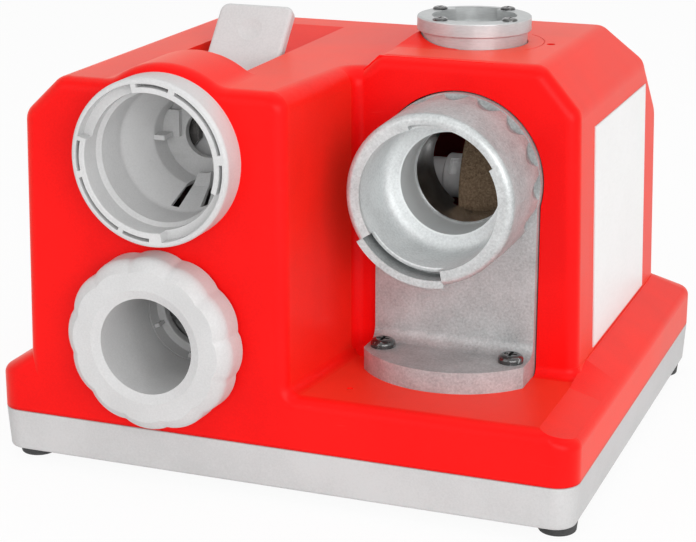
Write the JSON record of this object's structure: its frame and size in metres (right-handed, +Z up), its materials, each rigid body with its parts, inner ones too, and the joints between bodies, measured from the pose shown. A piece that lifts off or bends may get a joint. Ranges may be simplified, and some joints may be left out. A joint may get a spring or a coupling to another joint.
{
  "type": "drill bit sharpener",
  "caption": "Bench drill bit sharpener: moulded housing on a tray with an alignment port and lever, a parked chuck, and cast and top ports over a motor-driven grinding wheel.",
  "frame": {"origin": "centre of the bounding box at the floor, under the soles of the feet", "axes": "+X to the right as seen from the front, +Y to the rear, +Z up"},
  "size_m": [0.23, 0.2186, 0.1704],
  "materials": {
    "housing_red": "satin moulded red",
    "tray_grey": "satin moulded light grey",
    "foot_rubber": "dark rubber",
    "screw_black": "black oxide, glossy",
    "label_white": "bare white sticker",
    "port_grey": "satin moulded light grey",
    "plain_steel": "plain steel",
    "dark_steel": "dark oxide steel",
    "cast_aluminium": "sand-blasted casting",
    "bright_aluminium": "fine turned",
    "hub_chrome": "bright plated",
    "core_iron": "laminated iron",
    "abrasive": "coarse brown abrasive",
    "black_plastic": "black moulded"
  },
  "bodies": {
    "frame": {"housing_shell": "housing_red", "base_tray": "tray_grey", "rubber_feet": "foot_rubber", "foot_screws": "screw_black", "bracket_screws": "screw_black", "top_port_screws": "screw_black", "drive_screws": "screw_black", "side_label": "label_white", "alignment_port": "port_grey", "pawl_guide": "port_grey", "chuck_socket": "port_grey", "lever_pin": "plain_steel", "lever_spring": "plain_steel", "motor_can": "plain_steel", "bearing_left": "plain_steel", "bearing_right": "plain_steel", "motor_cradle": "plain_steel", "wheel_guard": "dark_steel", "sharpening_bracket": "cast_aluminium", "motor_cap_left": "cast_aluminium", "motor_cap_right": "cast_aluminium", "top_port_body": "bright_aluminium", "top_port_flange": "bright_aluminium", "port_liner": "hub_chrome", "stator_core": "core_iron", "switch_frame": "black_plastic", "cord_gland": "black_plastic"},
    "rotor": {"rotor_shaft": "plain_steel", "rotor_core": "core_iron", "cooling_fan": "black_plastic", "wheel_arbor": "hub_chrome", "grinding_wheel": "abrasive", "wheel_nut": "hub_chrome"},
    "lever": {"pawl_lever": "port_grey"},
    "pawl_l": {"pawl_left": "dark_steel"},
    "pawl_r": {"pawl_right": "dark_steel"},
    "chuck": {"chuck_body": "port_grey"},
    "knob": {"chuck_knob": "port_grey"},
    "jaws": {"chuck_jaws": "plain_steel"},
    "rocker": {"switch_rocker": "black_plastic"}
  },
  "joints": [
    {"name": "wheel_spin", "type": "hinge", "parent": "frame", "child": "rotor", "pos_m": [0, 0.01875, 0.101], "axis": [1, 0, 0], "continuous": true},
    {"name": "lever_tilt", "type": "hinge", "parent": "frame", "child": "lever", "pos_m": [-0.0415, -0.02925, 0.1405], "axis": [-1, 0, 0], "range_deg": [0, 20], "stiffness_Nm_per_rad": 0.06, "springref_deg": -17.19},
    {"name": "pawl_left_slide", "type": "slide", "parent": "frame", "child": "pawl_l", "axis": [-1, 0, 0], "range_m": [0, 0.003]},
    {"name": "pawl_right_slide", "type": "slide", "parent": "frame", "child": "pawl_r", "axis": [1, 0, 0], "range_m": [0, 0.003]},
    {"name": "chuck_pull", "type": "slide", "parent": "frame", "child": "chuck", "axis": [0, -1, 0], "range_m": [0, 0.06]},
    {"name": "knob_turn", "type": "hinge", "parent": "chuck", "child": "knob", "pos_m": [-0.044, -0.09625, 0.0592], "axis": [0, 1, 0], "range_deg": [0, 180]},
    {"name": "jaw_slide", "type": "slide", "parent": "chuck", "child": "jaws", "axis": [0, 1, 0], "range_m": [0, 0.00157]},
    {"name": "switch_rock", "type": "hinge", "parent": "frame", "child": "rocker", "pos_m": [0.058, 0.09175, 0.086], "axis": [1, 0, 0], "range_deg": [0, 16]}
  ],
  "couplings": [
    {"joint": "pawl_left_slide", "follows": "lever_tilt", "m_per_rad": 0.0085},
    {"joint": "pawl_right_slide", "follows": "lever_tilt", "m_per_rad": 0.0085},
    {"joint": "knob_turn", "follows": "jaw_slide", "rad_per_m": 2000}
  ]
}
